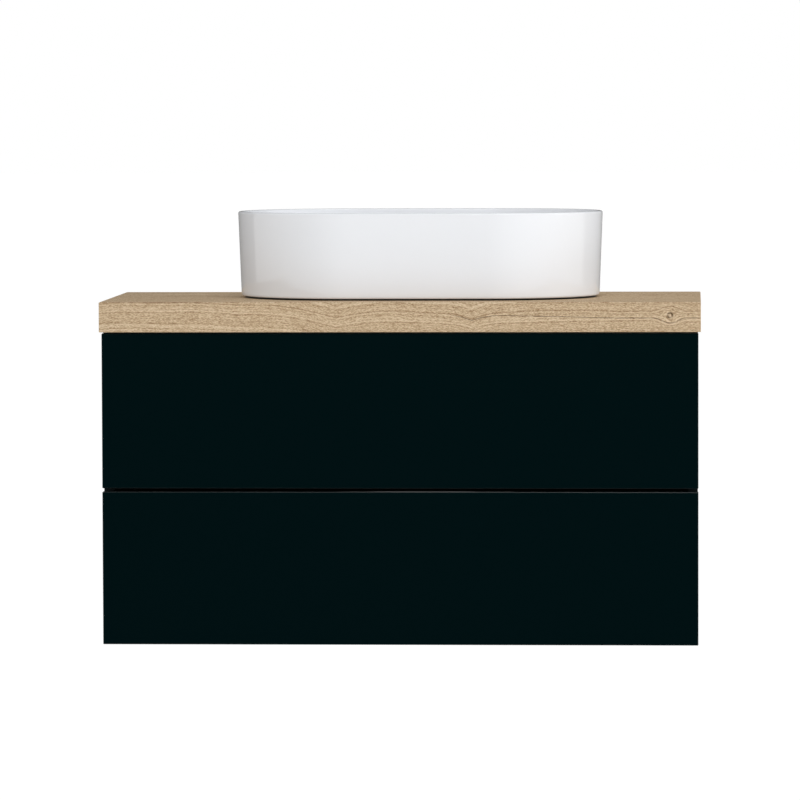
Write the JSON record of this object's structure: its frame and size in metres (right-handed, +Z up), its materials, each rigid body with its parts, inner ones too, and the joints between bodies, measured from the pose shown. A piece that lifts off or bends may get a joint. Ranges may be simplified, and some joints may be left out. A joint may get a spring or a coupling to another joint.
{
  "type": "vessel sink on vanity",
  "caption": "Wall-hung bathroom vanity with push-to-open drawers, an oak-decor worktop and an oval ceramic vessel basin with its click-clack waste and bottle trap.",
  "frame": {"origin": "centre of the wall rail's line of screw holes, on the wall plane", "axes": "+X to the right along the worktop, +Y into the wall, +Z up; the drawer fronts face -Y"},
  "size_m": [1, 0.5, 0.717],
  "materials": {
    "oak_decor": "oak-decor laminate with a fine embossed grain",
    "petrol_lacquer": "near-black petrol matt lacquer on board",
    "carcass_board": "dark melamine-faced board",
    "box_board": "pale grey melamine-faced board",
    "white_ceramic": "white gloss glaze",
    "chrome": "bright chrome plate",
    "zinc_steel": "bright zinc-plated steel",
    "white_plastic": "moulded white polypropylene",
    "grey_plastic": "moulded grey plastic"
  },
  "bodies": {
    "cabinet": {"back_panel": "carcass_board", "basin": "white_ceramic", "bottle_trap": "white_plastic", "bottom_panel": "carcass_board", "front_rail": "carcass_board", "hanger_hooks": "zinc_steel", "hanger_housings": "grey_plastic", "lower_runner_outer": "zinc_steel", "push_latch_plungers": "grey_plastic", "push_latches": "grey_plastic", "rear_rail": "carcass_board", "side_panel_left": "carcass_board", "side_panel_right": "carcass_board", "trap_fittings": "white_plastic", "upper_runner_outer": "zinc_steel", "wall_rail": "zinc_steel", "waste_body": "chrome", "waste_nut": "chrome", "worktop": "oak_decor", "worktop_brackets": "zinc_steel"},
    "lower_inner_cages": {"lower_cages_inner": "grey_plastic"},
    "lower_outer_cages": {"lower_cages_outer": "grey_plastic"},
    "lower_drawer": {"lower_drawer_back": "box_board", "lower_drawer_bottom": "box_board", "lower_drawer_front": "petrol_lacquer", "lower_drawer_inner_front": "box_board", "lower_drawer_side_left": "box_board", "lower_drawer_side_right": "box_board", "lower_runner_inner": "zinc_steel"},
    "lower_middle_members": {"lower_runner_middle": "zinc_steel"},
    "upper_drawer": {"siphon_surround": "grey_plastic", "upper_drawer_back": "box_board", "upper_drawer_bottom": "box_board", "upper_drawer_front": "petrol_lacquer", "upper_drawer_inner_front": "box_board", "upper_drawer_side_left": "box_board", "upper_drawer_side_right": "box_board", "upper_runner_inner": "zinc_steel"},
    "upper_inner_cages": {"upper_cages_inner": "grey_plastic"},
    "upper_outer_cages": {"upper_cages_outer": "grey_plastic"},
    "upper_middle_members": {"upper_runner_middle": "zinc_steel"},
    "plug": {"waste_plug": "chrome"}
  },
  "joints": [
    {"name": "upper_drawer_slide", "type": "slide", "parent": "cabinet", "child": "upper_drawer", "axis": [0, -1, 0], "range_m": [-0.002, 0.4]},
    {"name": "upper_middle_members_slide", "type": "slide", "parent": "cabinet", "child": "upper_middle_members", "axis": [0, -1, 0], "range_m": [-0.001, 0.2]},
    {"name": "upper_outer_cages_slide", "type": "slide", "parent": "cabinet", "child": "upper_outer_cages", "axis": [0, -1, 0], "range_m": [-0.0005, 0.1]},
    {"name": "upper_inner_cages_slide", "type": "slide", "parent": "cabinet", "child": "upper_inner_cages", "axis": [0, -1, 0], "range_m": [-0.0015, 0.3]},
    {"name": "lower_drawer_slide", "type": "slide", "parent": "cabinet", "child": "lower_drawer", "axis": [0, -1, 0], "range_m": [-0.002, 0.4]},
    {"name": "lower_middle_members_slide", "type": "slide", "parent": "cabinet", "child": "lower_middle_members", "axis": [0, -1, 0], "range_m": [-0.001, 0.2]},
    {"name": "lower_outer_cages_slide", "type": "slide", "parent": "cabinet", "child": "lower_outer_cages", "axis": [0, -1, 0], "range_m": [-0.0005, 0.1]},
    {"name": "lower_inner_cages_slide", "type": "slide", "parent": "cabinet", "child": "lower_inner_cages", "axis": [0, -1, 0], "range_m": [-0.0015, 0.3]},
    {"name": "plug_lift", "type": "slide", "parent": "cabinet", "child": "plug", "axis": [0, 0, 1], "range_m": [0, 0.008]}
  ],
  "couplings": [
    {"joint": "upper_middle_members_slide", "follows": "upper_drawer_slide", "ratio": 0.5},
    {"joint": "upper_outer_cages_slide", "follows": "upper_drawer_slide", "ratio": 0.25},
    {"joint": "upper_inner_cages_slide", "follows": "upper_drawer_slide", "ratio": 0.75},
    {"joint": "lower_middle_members_slide", "follows": "lower_drawer_slide", "ratio": 0.5},
    {"joint": "lower_outer_cages_slide", "follows": "lower_drawer_slide", "ratio": 0.25},
    {"joint": "lower_inner_cages_slide", "follows": "lower_drawer_slide", "ratio": 0.75}
  ]
}
